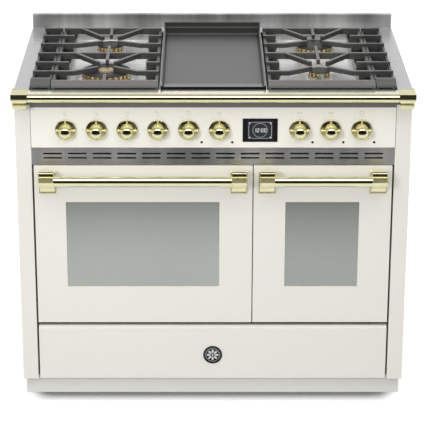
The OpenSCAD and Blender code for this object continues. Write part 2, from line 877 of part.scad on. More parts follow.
module door_left_skin() door_skin(door_left, window_left_x, window_l);
module door_left_glass() door_glass(window_left_x, window_l);
module door_left_liner() door_liner(door_left, window_left_x, window_l);
module door_left_bar() door_bar(door_left);
module door_left_brackets() door_brackets(door_left);
module door_right_skin() door_skin(door_right, window_right_x, window_r);
module door_right_glass() door_glass(window_right_x, window_r);
module door_right_liner() door_liner(door_right, window_right_x, window_r);
module door_right_bar() door_bar(door_right);
module door_right_brackets() door_brackets(door_right);

// Storage drawer

module drawer_front() color(cream) front() {
  lip = 6;
  fold = 12;
  t = sheet_t;
  difference() {
    along_x(-drawer_x, drawer_x) polygon([[0, drawer_z0], [0, drawer_z1 - lip],
      [lip + 2, drawer_z1], [drawer_t, drawer_z1], [drawer_t, drawer_z0]]);
    along_x(-drawer_x + t, drawer_x - t) polygon([[t, drawer_z0 + t], [t, drawer_z1 - lip - 1],
      [lip + 2, drawer_z1 - t], [drawer_t - t, drawer_z1 - t], [drawer_t - t, drawer_z0 + t]]);
    block([-drawer_x + fold, drawer_t - 5, drawer_z0 + fold],
      [drawer_x - fold, drawer_t + 1, drawer_z1 - fold]);
  }
}

module drawer_box() color(zinc) front() {
  t = sheet_t;
  block([-drawer_x + fold_in, drawer_t, drawer_z0 + fold_in],
    [drawer_x - fold_in, drawer_t + t, drawer_z1 - fold_in]);
  open_tray([-box_x, drawer_t, box_z0], [box_x, drawer_t + drawer_depth, box_z1], t);
  both_sides() block([box_x - t, drawer_t, runner_z + slide_clear],
    [box_x + flange_w, drawer_t + drawer_depth, runner_z + slide_clear + 2]);
}

// A bracket on the base pan with a shelf that the drawer's flange slides on
module drawer_runners() color(steel) front() {
  t = 3;
  d0 = plinth_set + 20;
  d1 = drawer_t + drawer_depth + 20;
  both_sides() {
    block([box_x + flange_w - 1, d0, plinth_h + sheet_t], [box_x + flange_w + 2, d1, runner_z]);
    block([box_x + 1.5, d0, runner_z - t], [box_x + flange_w + 2, d1, runner_z]);
  }
}

module medallion() color(black) front() {
  disc_r = 25;
  below_middle = 7;
  rod_y(0, (drawer_z0 + drawer_z1) / 2 - below_middle, -2.5, 0, disc_r);
}

base_pan();
plinth();
feet();
side_panel_left();
side_panel_right();
back_panel();
worktop();
upstand();
front_rail();
rail_corners();
control_panel();
vent_strip();
display_unit();
indicator_lamps();
burner_bases();
flame_rings();
burner_caps();
grate_left();
grate_right();
side_grate_left();
side_grate_right();
griddle_plate();
gas_rail();
tap_plug_1();
tap_plug_2();
tap_plug_3();
tap_plug_4();
knob_1();
knob_2();
knob_3();
knob_4();
knob_5();
knob_6();
knob_7();
knob_8();
knob_9();
switch_bodies();
oven_cavities();
insulation();
oven_racks();
heating_elements();
fan_left();
fan_right();
fan_motors();
door_hinges();
door_seals();
door_left_skin();
door_left_glass();
door_left_liner();
door_left_bar();
door_left_brackets();
door_right_skin();
door_right_glass();
door_right_liner();
door_right_bar();
door_right_brackets();
drawer_front();
drawer_box();
drawer_runners();
medallion();
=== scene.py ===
"""Looks of the range cooker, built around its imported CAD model.

The scene is in metres. Profiles, offsets and edge widths are in millimetres, which MM turns into metres.
"""
import json
import math

import bmesh
import bpy
from mathutils import Matrix, Vector

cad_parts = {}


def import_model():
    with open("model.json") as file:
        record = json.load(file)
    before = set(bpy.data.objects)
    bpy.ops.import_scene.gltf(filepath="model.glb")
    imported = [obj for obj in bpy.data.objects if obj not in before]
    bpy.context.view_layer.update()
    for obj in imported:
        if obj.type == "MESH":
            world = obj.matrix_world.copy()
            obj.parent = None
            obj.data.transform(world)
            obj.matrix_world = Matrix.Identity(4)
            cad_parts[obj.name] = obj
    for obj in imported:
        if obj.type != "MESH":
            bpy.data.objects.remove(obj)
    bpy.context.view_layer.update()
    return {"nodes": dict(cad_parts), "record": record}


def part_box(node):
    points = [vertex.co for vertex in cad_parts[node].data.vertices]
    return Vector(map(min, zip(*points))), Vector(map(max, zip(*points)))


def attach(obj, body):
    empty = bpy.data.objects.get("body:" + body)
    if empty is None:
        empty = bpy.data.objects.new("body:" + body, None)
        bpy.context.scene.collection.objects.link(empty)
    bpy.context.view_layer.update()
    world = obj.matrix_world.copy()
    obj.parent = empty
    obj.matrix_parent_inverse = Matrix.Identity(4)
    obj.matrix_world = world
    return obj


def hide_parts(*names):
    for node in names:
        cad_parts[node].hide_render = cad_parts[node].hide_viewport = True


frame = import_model()
SCENE = bpy.context.scene
SCENE.view_settings.view_transform = "Standard"

MM = 0.001
MICRON = 0.000001
SIDES = ("left", "right")
KNOBS = ["knob_%d" % i for i in range(1, 10)]
GAS_KNOBS = KNOBS[:4]
OVEN_KNOBS = KNOBS[4:]
JOINTS = {joint["name"]: joint for joint in frame["record"]["behaviour"]["joints"]}
KNOB_Z = JOINTS["knob_5_turn"]["pos_m"][2]
FRONT_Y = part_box("door_left_skin")[0].y
FRONT_AXIS = (0, -1, 0)
UP_AXIS = (0, 0, 1)


def depth(d):
    """The Y of a depth in millimetres behind the face of the doors."""
    return FRONT_Y + d * MM


def middle(node):
    """The centre of a node's box."""
    low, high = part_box(node)
    return (low + high) / 2


# Materials


class Nodes:
    """Adds and links the nodes of one material or world."""

    def __init__(self, owner):
        owner.use_nodes = True
        self.tree = owner.node_tree

    def add(self, kind, **settings):
        node = self.tree.nodes.new("ShaderNode" + kind)
        for key, value in settings.items():
            setattr(node, key, value)
        return node

    def feed(self, socket, value):
        """Links a socket to an output, or sets it to a number or a colour."""
        if isinstance(value, bpy.types.NodeSocket):
            self.tree.links.new(value, socket)
        else:
            socket.default_value = value

    def joined(self, operation, a, b=0.0):
        """The result of a math node on two outputs or numbers."""
        node = self.add("Math", operation=operation)
        self.feed(node.inputs[0], a)
        self.feed(node.inputs[1], b)
        return node.outputs[0]

    def larger(self, a, b):
        return self.joined("MAXIMUM", a, b)

    def product(self, a, b):
        return self.joined("MULTIPLY", a, b)

    def rest(self, a):
        """What is left of 1 without a."""
        return self.joined("SUBTRACT", 1, a)

    def fit(self, value, low, high, a=0.0, b=1.0, curve="LINEAR"):
        """Runs from a to b while the value runs from low to high."""
        node = self.add("MapRange", interpolation_type=curve)
        for key, number in (("From Min", low), ("From Max", high), ("To Min", a), ("To Max", b)):
            node.inputs[key].default_value = number
        self.feed(node.inputs["Value"], value)
        return node.outputs["Result"]

    def parts(self, vector):
        """The X, Y and Z outputs of a vector."""
        node = self.add("SeparateXYZ")
        self.feed(node.inputs[0], vector)
        return node.outputs

    def surface(self, socket):
        self.feed(self.tree.nodes["Material Output"].inputs["Surface"], socket)


class Finish(Nodes):
    """A node material: one Principled shader fed by noise in object space."""

    def __init__(self, name, color, roughness, metallic=0.0, **constants):
        self.mat = bpy.data.materials.new(name)
        super().__init__(self.mat)
        self.shader = self.tree.nodes["Principled BSDF"]
        self.color = color
        self.set("Base Color", (*color, 1))
        self.set("Roughness", roughness)
        self.set("Metallic", metallic)
        for socket, value in constants.items():
            self.set(socket.replace("_", " "), value)
        self.coords = self.add("TexCoord").outputs["Object"]
        self.normal = None

    def set(self, socket, value):
        self.feed(self.shader.inputs[socket], value)

    def at(self, axis):
        """The place along an axis, in metres."""
        return self.parts(self.coords)[axis]

    def off_middle(self):
        """The distance from the middle plane, in metres."""
        return self.joined("ABSOLUTE", self.at("X"))

    def stretched(self, scale, start):
        node = self.add("Mapping")
        node.inputs["Scale"].default_value = scale
        node.inputs["Location"].default_value = (start, 0, 0)
        self.feed(node.inputs["Vector"], self.coords)
        return node.outputs["Vector"]

    def noise(self, scale, detail=3.0, stretch=None, rough=0.5, start=0.0):
        node = self.add("TexNoise")
        node.inputs["Scale"].default_value = scale
        node.inputs["Detail"].default_value = detail
        node.inputs["Roughness"].default_value = rough
        self.feed(node.inputs["Vector"], self.stretched(stretch, start) if stretch else self.coords)
        return node.outputs["Fac"]

    def cells(self, scale, output="Distance"):
        node = self.add("TexVoronoi")
        node.inputs["Scale"].default_value = scale
        self.feed(node.inputs["Vector"], self.coords)
        return node.outputs[output]

    def mix(self, factor, a, b):
        """A colour between a and b, which are colours or outputs."""
        node = self.add("Mix", data_type="RGBA")
        self.feed(node.inputs["Factor"], factor)
        for key, value in ((6, a), (7, b)):
            self.feed(node.inputs[key], (*value, 1) if isinstance(value, tuple) else value)
        return node.outputs[2]

    def tone(self, factor, spread):
        """The finish's own colour, darker and lighter by spread as factor goes from 0 to 1."""
        dark = tuple(c * (1 - spread) for c in self.color)
        light = tuple(min(1.0, c * (1 + spread)) for c in self.color)
        return self.mix(factor, dark, light)

    def paint(self, socket):
        self.set("Base Color", socket)

    def rough(self, value, a, b, low=0.3, high=0.7):
        self.set("Roughness", self.fit(value, low, high, a, b))

    def bump(self, height, microns, strength):
        node = self.add("Bump")
        node.inputs["Distance"].default_value = microns * MICRON
        node.inputs["Strength"].default_value = strength
        self.feed(node.inputs["Height"], height)
        if self.normal is not None:
            self.feed(node.inputs["Normal"], self.normal)
        self.normal = node.outputs["Normal"]
        self.set("Normal", self.normal)


def enamel(name, color, roughness=0.3):
    """Fired enamel: an even gloss over a faintly uneven sheet."""
    f = Finish(name, color, roughness, Coat_Weight=0.25, Coat_Roughness=0.12)
    f.paint(f.tone(f.noise(5, detail=2), spread=0.012))
    f.rough(f.noise(14, detail=5), roughness - 0.04, roughness + 0.06, low=0.1, high=0.9)
    f.bump(f.noise(330, detail=2), microns=60, strength=0.5)
    f.bump(f.noise(40, detail=2), microns=200, strength=0.25)
    return f.mat


def brushed(name, color, roughness, contrast, reflection_bands, start):
    """Brushed steel whose grain runs along the width, under wide soft bands of painted reflection."""
    f = Finish(name, color, roughness, metallic=1.0)
    streaks = f.noise(1, detail=4, stretch=(2.5, 900, 900), rough=0.7)
    # Painted reflection: wide light and dark bands stand for the studio seen in the steel; start sets where
    # they fall.
    reflection_band = f.noise(1, detail=3, stretch=reflection_bands, rough=0.6, start=start)
    shade = f.joined("ADD", f.fit(streaks, 0.2, 0.8, -0.12, 0.12), f.fit(reflection_band, 0.3, 0.7))
    f.paint(f.tone(shade, contrast))
    f.rough(streaks, roughness - 0.06, roughness + 0.1)
    f.bump(streaks, microns=40, strength=0.6)
    return f.mat


def pressed_tray(name, color, roughness):
    """The hob's sheet: bright in the wells, with painted shade under the grates' ends and along the wells'
    front, duller on its margins, and with painted shade on its apron under the rail.
    """
    shadow = (0.035, 0.035, 0.034)
    apron_shade = (0.3, 0.3, 0.28)
    margin_share = 0.55
    land_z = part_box("worktop")[1].z - 2 * MM
    hob_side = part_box("side_grate_right")[1].x
    hob_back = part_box("griddle_plate")[1].y + 3.5 * MM
    grate_in, grate_out = (corner.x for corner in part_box("grate_right"))

    f = Finish(name, color, roughness, metallic=0.5)
    streaks = f.noise(1, detail=4, stretch=(3, 700, 700), rough=0.7)
    x, y, z = f.off_middle(), f.at("Y"), f.at("Z")
    sunk = f.product(f.fit(z, land_z + 0.4 * MM, land_z), f.fit(x, hob_side + 3.5 * MM, hob_side + 2.5 * MM))
    sunk = f.product(sunk, f.fit(y, hob_back + 1 * MM, hob_back))
    outer_end = f.fit(x, grate_out - 38 * MM, grate_out - 30 * MM)
    inner_end = f.fit(x, grate_in + 39.5 * MM, grate_in + 31.5 * MM)
    ends = f.larger(f.larger(outer_end, inner_end), f.fit(y, depth(36), depth(30)))
    margin = f.fit(x, hob_side - 16 * MM, hob_side - 4 * MM)
    sheet = f.mix(margin, f.tone(streaks, spread=0.02), tuple(c * margin_share for c in color))
    # Painted shade: the wells go near black under the grates' ends and along their front.
    sheet = f.mix(f.product(sunk, ends), sheet, shadow)
    # Painted shade: the apron under the front rail is greyed.
    f.paint(f.mix(f.fit(y, depth(4), depth(2)), sheet, apron_shade))
    f.rough(streaks, roughness - 0.05, roughness + 0.05)
    f.bump(streaks, microns=20, strength=0.2)
    return f.mat


def polished(name, color, roughness, waves=0.15, hairlines=0.4, spots=(0.7, 1.5), **constants):
    """Polished cast or drawn metal with faint waves, hairlines and smudges."""
    f = Finish(name, color, roughness, metallic=1.0, **constants)
    f.paint(f.tone(f.fit(f.noise(25, detail=4), 0.35, 0.65), spread=0.03))
    f.rough(f.noise(60, detail=2), roughness * spots[0], roughness * spots[1])
    f.bump(f.noise(35, detail=2), microns=200, strength=waves)
    f.bump(f.noise(1, detail=2, stretch=(60, 2500, 2500)), microns=15, strength=hairlines)
    return f.mat


def mottled(f, spread=0.12):
    """The patchy tone of a cast surface."""
    return f.tone(f.fit(f.noise(45, detail=4), 0.35, 0.65), spread)


def cast(name, color, roughness, metallic=0.0, grain=900, microns=120):
    """A cast or pressed surface with a fine even grain."""
    f = Finish(name, color, roughness, metallic)
    f.paint(mottled(f))
    f.rough(f.noise(120, detail=4), roughness - 0.07, roughness + 0.1)
    f.bump(f.noise(grain), microns, strength=0.6)
    return f.mat


def highlit_iron(name, color, highlight_color, flats):
    """Cast iron with painted highlights: paler on its top edges and sloped front bar, and, with flats, on all
    that faces up.
    """
    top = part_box("grate_left")[1].z
    f = Finish(name, color, 0.38, metallic=0.25)
    # Painted highlight: the top edges, the sloped front bar and, with flats, all that faces up take a paler
    # iron, as if catching the overhead light.
    top_edge = f.fit(f.at("Z"), top - 2.2 * MM, top - 0.6 * MM)
    front_bar = f.fit(f.at("Y"), depth(26), depth(19))
    painted_highlight = f.larger(top_edge, front_bar)
    if flats:
        facing = f.parts(f.add("NewGeometry").outputs["Normal"])
        painted_highlight = f.larger(painted_highlight, f.fit(facing["Z"], 0.7, 0.9))
    f.paint(f.mix(painted_highlight, mottled(f), highlight_color))
    f.rough(f.noise(120, detail=4), 0.31, 0.48)
    f.bump(f.noise(900), microns=120, strength=0.6)
    return f.mat


def griddle_finish(name, color):
    """Brushed steel with painted shade on the rear wall, in the gutter and on the front face, and paler on
    the front rim.
    """
    rim_grey = (0.4, 0.395, 0.385)
    gutter_shade = (0.12, 0.122, 0.112)
    face_shade = (0.03, 0.03, 0.03)
    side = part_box("griddle_plate")[1].x

    f = Finish(name, color, 0.58, metallic=1.0)
    streaks = f.noise(1, detail=4, stretch=(600, 12, 12), rough=0.7)
    x, y = f.off_middle(), f.at("Y")
    rim = f.fit(y, depth(35.5), depth(34.5))
    front_gutter = f.product(f.fit(y, depth(34.5), depth(36)), f.fit(y, depth(41.5), depth(39.5)))
    inner_edge = f.fit(x, side - 10 * MM, side - 7.5 * MM)
    outer_edge = f.fit(x, side - 3.8 * MM, side - 4.4 * MM)
    gutter = f.larger(front_gutter, f.product(inner_edge, outer_edge))
    # Painted shade: the gutter and the rear wall are darkened.
    dark = f.larger(gutter, f.fit(y, depth(527), depth(532)))
    paint = f.mix(rim, f.tone(streaks, spread=0.06), rim_grey)
    paint = f.mix(dark, paint, gutter_shade)
    # Painted shade: the front face goes near black.
    f.paint(f.mix(f.fit(y, depth(7.8), depth(6.8)), paint, face_shade))
    f.rough(streaks, 0.52, 0.66)
    f.bump(streaks, microns=40, strength=0.6)
    return f.mat


def speckled(name, color, speck):
    """Dark vitreous enamel with fine pale specks."""
    f = Finish(name, color, 0.28, Coat_Weight=0.4, Coat_Roughness=0.1)
    specks = f.fit(f.cells(420), 0.1, 0.16, 1, 0)
    thinned = f.product(specks, f.fit(f.noise(160, detail=1), 0.5, 0.56))
    f.paint(f.mix(thinned, f.tone(f.noise(30), spread=0.15), speck))
    f.rough(f.noise(20, detail=4), 0.22, 0.36)
    f.bump(f.noise(260, detail=2), microns=80, strength=0.5)
    return f.mat


def galvanised(name, color):
    """Zinc-coated sheet with its crystal pattern."""
    f = Finish(name, color, 0.45, metallic=0.85)
    crystals = f.cells(75, "Color")
    f.paint(f.tone(crystals, spread=0.14))
    f.rough(crystals, 0.36, 0.55, low=0, high=1)
    f.bump(f.noise(300), microns=50, strength=0.5)
    return f.mat


def moulded(name, color, roughness=0.5, spread=0.1):
    """Plastic, rubber or print with a fine grain."""
    f = Finish(name, color, roughness)
    f.paint(f.tone(f.noise(60), spread))
    f.rough(f.noise(90, detail=4), roughness - 0.08, roughness + 0.1)
    f.bump(f.noise(1400, detail=2), microns=60, strength=0.6)
    return f.mat


def woolly(name, color):
    """Matted fibres, as mineral wool has them."""
    f = Finish(name, color, 0.95, Sheen_Weight=0.3)
    fibres = f.noise(1, detail=6, stretch=(90, 90, 700), rough=0.7)
    f.paint(f.tone(fibres, spread=0.3))
    f.bump(fibres, microns=3000, strength=0.9)
    return f.mat


def glazing(name, color):
    """Oven glass whose front face has a grey-green mirror coat that lets a little of the inside show."""
    mirror = 0.62
    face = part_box("door_left_glass")[0].y
    f = Finish(name, color, 0.06, mirror, Transmission_Weight=0.9, IOR=1.5)
    f.set("Metallic", f.fit(f.at("Y"), face + 1.2 * MM, face + 0.8 * MM, 0, mirror))
    f.paint(f.tone(f.fit(f.noise(3), 0.3, 0.7), spread=0.03))
    f.rough(f.noise(12, detail=5), 0.03, 0.1)
    f.bump(f.noise(6, detail=1), microns=200, strength=0.06)
    return f.mat


def screen_glass(name, color):
    """Smooth glass over a dark screen."""
    f = Finish(name, color, 0.08, Coat_Weight=1.0, Coat_Roughness=0.03)
    f.paint(f.tone(f.noise(20), spread=0.2))
    f.rough(f.noise(30, detail=5), 0.05, 0.14)
    return f.mat


FINISHES = {
    "cream_enamel": enamel("cream_enamel", (0.83, 0.81, 0.745)),
    "plinth_enamel": enamel("plinth_enamel", (0.79, 0.785, 0.745), 0.36),
    "brushed_steel": brushed("brushed_steel", (0.66, 0.66, 0.655), 0.36,
                             contrast=0.42, reflection_bands=(6, 0.5, 0.5), start=77.7),
    "polished_brass": polished("polished_brass", (0.86, 0.81, 0.48), 0.055,
                               Coat_Weight=1.0, Coat_Roughness=0.04),
    "burner_brass": polished("burner_brass", (0.93, 0.78, 0.38), 0.2),
    "fitting_brass": polished("fitting_brass", (0.6, 0.47, 0.24), 0.3, waves=0.3),
    "cast_aluminium": cast("cast_aluminium", (0.5, 0.5, 0.5), 0.45, 0.9),
    "black_enamel": cast("black_enamel", (0.028, 0.028, 0.03), 0.5, grain=1100, microns=50),
    "cast_iron": cast("cast_iron", (0.1, 0.097, 0.093), 0.38, 0.25),
    "griddle_steel": griddle_finish("griddle_steel", (0.275, 0.277, 0.28)),
    "black_glass": screen_glass("black_glass", (0.012, 0.012, 0.014)),
    "oven_glass": glazing("oven_glass", (0.66, 0.69, 0.64)),
    "oven_enamel": speckled("oven_enamel", (0.045, 0.048, 0.055), (0.5, 0.5, 0.5)),
    "zinc_steel": galvanised("zinc_steel", (0.5, 0.51, 0.52)),
    "black_plastic": moulded("black_plastic", (0.03, 0.03, 0.03)),
    "lamp_lens": moulded("lamp_lens", (0.03, 0.005, 0.004), 0.15, spread=0.2),
    "mineral_wool": woolly("mineral_wool", (0.16, 0.145, 0.115)),
    "rack_chrome": polished("rack_chrome", (0.7, 0.7, 0.7), 0.12),
    "element_steel": cast("element_steel", (0.13, 0.11, 0.1), 0.5, 0.7),
    "seal_rubber": moulded("seal_rubber", (0.07, 0.07, 0.07), 0.75),
    "medallion_black": moulded("medallion_black", (0.01, 0.01, 0.012), 0.18),
}
PRINT = moulded("grey_print", (0.42, 0.41, 0.39), 0.6)
SCREEN_BACK = screen_glass("screen_back", (0.035, 0.036, 0.04))
SCREEN_LINE = moulded("screen_line", (0.36, 0.37, 0.4), 0.35)
SCREEN_DIGIT = moulded("screen_digit", (0.85, 0.87, 0.88), 0.4)
SATIN_BRASS = polished("satin_brass", (0.77, 0.72, 0.4), 0.26, hairlines=0.04)
SHADE_BRASS = polished("shade_brass", (0.5, 0.45, 0.24), 0.3)
HIGHLIGHT_BRASS = polished("highlight_brass", (0.92, 0.9, 0.75), 0.26, waves=0.0, hairlines=0.0, spots=(0.96, 1.05))
BURNER_TOP = polished("burner_top", (0.5, 0.4, 0.2), 0.34)
PORT_SHADE = polished("port_shade", (0.5, 0.37, 0.14), 0.4)
JOINT_SHADE = moulded("joint_shade", (0.09, 0.085, 0.08), 0.8)
IRON_SHADE = cast("iron_shade", (0.02, 0.02, 0.021), 0.6)

OWN_FINISH = {
    "worktop": pressed_tray("tray_steel", (0.96, 0.96, 0.955), 0.24),
    # Painted light: the control panel takes a lighter copy of the cream enamel to make up for the rail's
    # shade.
    "control_panel": enamel("panel_enamel_lit", (0.91, 0.89, 0.82)),
    # Painted shade: the right door's glass is a darker copy of the oven glass.
    "door_right_glass": glazing("oven_glass_shaded", (0.56, 0.585, 0.54)),
    "upstand": brushed("upstand_steel", (0.6, 0.6, 0.595), 0.5,
                       contrast=0.5, reflection_bands=(9, 0.3, 0.3), start=31.4),
}
for side in SIDES:
    OWN_FINISH["grate_" + side] = highlit_iron("grate_iron_" + side, (0.07, 0.068, 0.065),
                                            highlight_color=(0.19, 0.186, 0.18), flats=False)
    OWN_FINISH["side_grate_" + side] = highlit_iron("side_iron_" + side, (0.062, 0.062, 0.06),
                                                 highlight_color=(0.13, 0.13, 0.127), flats=True)

SLOT_OF = {row["node"]: row["material_slot"] for row in frame["record"]["subparts"]}

# Mesh tools


def new_piece(name, bm, slot, body, *nodes, material=None):
    """A mesh object from bm that rides on a body and stands for the CAD nodes named."""
    bmesh.ops.recalc_face_normals(bm, faces=bm.faces)
    mesh = bpy.data.meshes.new(name)
    bm.to_mesh(mesh)
    bm.free()
    obj = bpy.data.objects.new(name, mesh)
    SCENE.collection.objects.link(obj)
    mesh.materials.append(material or FINISHES[slot])
    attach(obj, body)
    if nodes:
        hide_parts(*nodes)
    return obj


def satin_flats(obj, chosen, finish=SATIN_BRASS):
    """Gives the flat faces whose normal is chosen another finish."""
    obj.data.materials.append(finish)
    for face in obj.data.polygons:
        if chosen(face.normal):
            face.material_index = 1


def smooth(obj, angle=40):
    """Shades a piece smooth, apart from edges sharper than an angle in degrees."""
    obj.data.shade_smooth()
    obj.data.set_sharp_from_angle(angle=math.radians(angle))


def bevel(obj, width_mm, segments=2, angle=32):
    """Rounds the edges sharper than an angle in degrees."""
    b = obj.modifiers.new("bevel", "BEVEL")
    b.width = width_mm * MM
    b.segments = segments
    b.limit_method = "ANGLE"
    b.angle_limit = math.radians(angle)
    b.use_clamp_overlap = True
    b.harden_normals = False
    n = obj.modifiers.new("normals", "WEIGHTED_NORMAL")
    n.keep_sharp = True


def cleaned(obj):
    """Welds the vertices of a CAD mesh and joins the triangles of its flat faces."""
    w = obj.modifiers.new("weld", "WELD")
    w.merge_threshold = 0.02 * MM
    d = obj.modifiers.new("flats", "DECIMATE")
    d.decimate_type = "DISSOLVE"
    d.angle_limit = math.radians(0.6)


def walled(bm, low, high):
    """Joins two rings of as many vertices with a wall."""
    for k in range(len(low)):
        j = (k + 1) % len(low)
        bm.faces.new((low[k], low[j], high[j], high[k]))


def lofted(bm, rings):
    """Adds a closed solid through rings of as many points each."""
    loops = [[bm.verts.new(point) for point in ring] for ring in rings]
    for low, high in zip(loops, loops[1:]):
        walled(bm, low, high)
    bm.faces.new(reversed(loops[0]))
    bm.faces.new(loops[-1])


def turned(bm, profile, centre, axis, segments=96, radius_at=None):
    """Adds a turned solid.

    profile is a list of (radius, height) in millimetres, and axis the direction of height. radius_at takes a
    radius, a height and a step of the turn, and gives the radius there.
    """
    turn = Vector(UP_AXIS).rotation_difference(Vector(axis)).to_matrix().to_4x4()
    place = Matrix.Translation(centre) @ turn
    rings = []
    for r, h in profile:
        if r == 0:
            rings.append([bm.verts.new(place @ Vector((0, 0, h * MM)))])
            continue
        ring = []
        for k in range(segments):
            a = 2 * math.pi * k / segments
            reach = (radius_at(r, h, k) if radius_at else r) * MM
            ring.append(bm.verts.new(place @ Vector((reach * math.cos(a), reach * math.sin(a), h * MM))))
        rings.append(ring)
    if len(rings[0]) > 1 and len(rings[-1]) > 1:
        rings.append(rings[0])
    for low, high in zip(rings, rings[1:]):
        if len(low) > 1 and len(high) > 1:
            walled(bm, low, high)
            continue
        tip, ring = (low, high) if len(low) == 1 else (high, low)
        for k in range(segments):
            bm.faces.new((tip[0], ring[k], ring[(k + 1) % segments]))


def extruded(bm, outline, x0, x1):
    """Adds a prism along X. outline is a list of (y, z) in metres."""
    lofted(bm, [[(x, y, z) for y, z in outline] for x in (x0, x1)])


def stacked(bm, x0, x1, y0, y1, levels):
    """A block through levels of (z, inset) in millimetres; the inset takes in the front and both sides."""
    rings = []
    for z, inset in levels:
        e = inset * MM
        corners = ((x0 + e, y0 + e), (x1 - e, y0 + e), (x1 - e, y1), (x0 + e, y1))
        rings.append([(x, y, z * MM) for x, y in corners])
    lofted(bm, rings)


def slab(bm, x0, x1, z0, z1, face, back):
    """A thin plate on the front, from face to back in millimetres before the front plane."""
    corners = [(x0, z0), (x1, z0), (x1, z1), (x0, z1)]
    lofted(bm, [[(x * MM, depth(-h), z * MM) for x, z in corners] for h in (back, face)])


def outline_strip(bm, points, width, face, back=0.0):
    """A closed line of a width that follows points (x, z) in millimetres round their middle."""
    mid_x = sum(x for x, z in points) / len(points)
    mid_z = sum(z for x, z in points) / len(points)
    rings = []
    for taken_in, h in ((0, face), (width, face), (width, back), (0, back)):
        ring = []
        for x, z in points:
            k = 1 - taken_in / math.hypot(x - mid_x, z - mid_z)
            point = ((mid_x + (x - mid_x) * k) * MM, depth(-h), (mid_z + (z - mid_z) * k) * MM)
            ring.append(bm.verts.new(point))
        rings.append(ring)
    for low, high in zip(rings, rings[1:] + rings[:1]):
        walled(bm, low, high)


def arc(cy, cz, r, a0, a1, steps):
    """Points of an arc in the YZ plane, angles in degrees from +Y towards +Z."""
    angles = [math.radians(a0 + (a1 - a0) * k / steps) for k in range(steps + 1)]
    return [(cy + r * math.cos(a), cz + r * math.sin(a)) for a in angles]


# CAD nodes

EDGE_MM = {
    "worktop": 0.7, "upstand": 0.8, "control_panel": 0.5, "vent_strip": 0.3, "plinth": 0.5, "back_panel": 0.3,
    "side_panel_left": 0.6, "side_panel_right": 0.6, "griddle_plate": 1.2, "burner_bases": 0.5,
    "grate_left": 1.0, "grate_right": 1.0, "side_grate_left": 1.0, "side_grate_right": 1.0,
    "door_left_skin": 1.2, "door_right_skin": 1.2, "door_left_liner": 0.5, "door_right_liner": 0.5,
    "door_left_brackets": 0.9, "door_right_brackets": 0.9, "oven_racks": 1.0,
    "drawer_front": 1.2, "drawer_box": 0.4,
}
for name, node in frame["nodes"].items():
    node.data.materials.clear()
    node.data.materials.append(OWN_FINISH.get(name) or FINISHES[SLOT_OF[name]])
    if name in EDGE_MM:
        cleaned(node)
        bevel(node, EDGE_MM[name])

# Knobs

KNOB_PROFILE = [
    (0, 4.2), (25.6, 4.2), (26.6, 4.6), (27, 5.4), (27, 6.2), (26.6, 7), (25.8, 7.5), (24.6, 7.8), (22.5, 8),
    (20, 8.3), (18, 8.8), (16.6, 9.5), (15.6, 10.6), (14.9, 12), (14.3, 14), (13.6, 16), (12.8, 18),
    (12.2, 20), (12, 22), (12.2, 24), (12.8, 26), (13.5, 27.6), (14, 29.4), (14.2, 31.2), (14.1, 32.6),
    (13.8, 34), (13.2, 35.2), (12.3, 36.2), (11.2, 37), (9.6, 37.9), (8, 38.6), (6, 39.25), (4, 39.65),
    (2, 39.9), (0, 40),
]
DISH_HEIGHTS = (7.4, 11)
DISH_SHADE = (15.4, 21)
CROWN_HEIGHTS = (24, 30.5)
CROWN_RADIUS = 11
ARM_START = 13
ARM_HEIGHT = 10.6
ARM_REACHES = (16.4, 12.6, 12.6, 12.6)


def knob(name):
    """A turned brass knob with its spindle, a long arm that points up and three short ones."""
    spindle_end = (FRONT_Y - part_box(name)[1].y) / MM
    centre = Vector((middle(name).x, FRONT_Y, KNOB_Z))
    bm = bmesh.new()
    turned(bm, KNOB_PROFILE, centre, FRONT_AXIS, 72)
    spindle = [(0, spindle_end), (2.6, spindle_end), (3, spindle_end + 0.5), (3, 6), (0, 6)]
    turned(bm, spindle, centre, FRONT_AXIS, 24)
    for k, reach in enumerate(ARM_REACHES):
        a = math.radians(90 * k)
        out = Vector((math.sin(a), 0, math.cos(a)))
        arm = [(0, 0), (2, 0), (2.4, reach - 7), (3.1, reach - 4.6), (3.2, reach - 3.2), (2.9, reach - 1.7),
               (2, reach - 0.5), (0, reach)]
        turned(bm, arm, centre + out * ARM_START * MM + Vector(FRONT_AXIS) * ARM_HEIGHT * MM, out, 24)
    obj = new_piece(name + "_turned", bm, "polished_brass", name, name)
    # Painted shade: a ring of the dish round the head and a band round the back of the head take a darker
    # brass; the rest of the dish is satin.
    obj.data.materials.append(SATIN_BRASS)
    obj.data.materials.append(SHADE_BRASS)
    for face in obj.data.polygons:
        height = (FRONT_Y - face.center.y) / MM
        radius = math.hypot(face.center.x - centre.x, face.center.z - centre.z) / MM
        if DISH_HEIGHTS[0] < height < DISH_HEIGHTS[1] and abs(face.normal.y) > 0.6:
            face.material_index = 2 if DISH_SHADE[0] < radius < DISH_SHADE[1] else 1
        elif CROWN_HEIGHTS[0] < height < CROWN_HEIGHTS[1] and radius > CROWN_RADIUS:
            face.material_index = 2
    smooth(obj)


for name in KNOBS:
    knob(name)

# Rail and handles


def rail():
    """The bull-nosed front rail, with its flat top and the lip under it."""
    low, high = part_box("front_rail")
    nose = (high.z - low.z) / 2
    nose_y = low.y + nose
    outline = [(high.y, high.z), (nose_y + 2 * MM, high.z), (nose_y + 0.6 * MM, high.z - 0.2 * MM)]
    outline += arc(nose_y, high.z - nose, nose, 95, 262, 28)
    outline += [(nose_y + 1.5 * MM, low.z), (high.y, low.z)]
    bm = bmesh.new()
    extruded(bm, outline, low.x, high.x)
    obj = new_piece("front_rail_drawn", bm, "polished_brass", "carcass", "front_rail")
    # Painted highlight: the flat top takes a satin brass made paler and whiter, standing for the overhead
    # light it reflects.
    satin_flats(obj, lambda n: n.z > 0.97, HIGHLIGHT_BRASS)
    smooth(obj, 50)


rail()

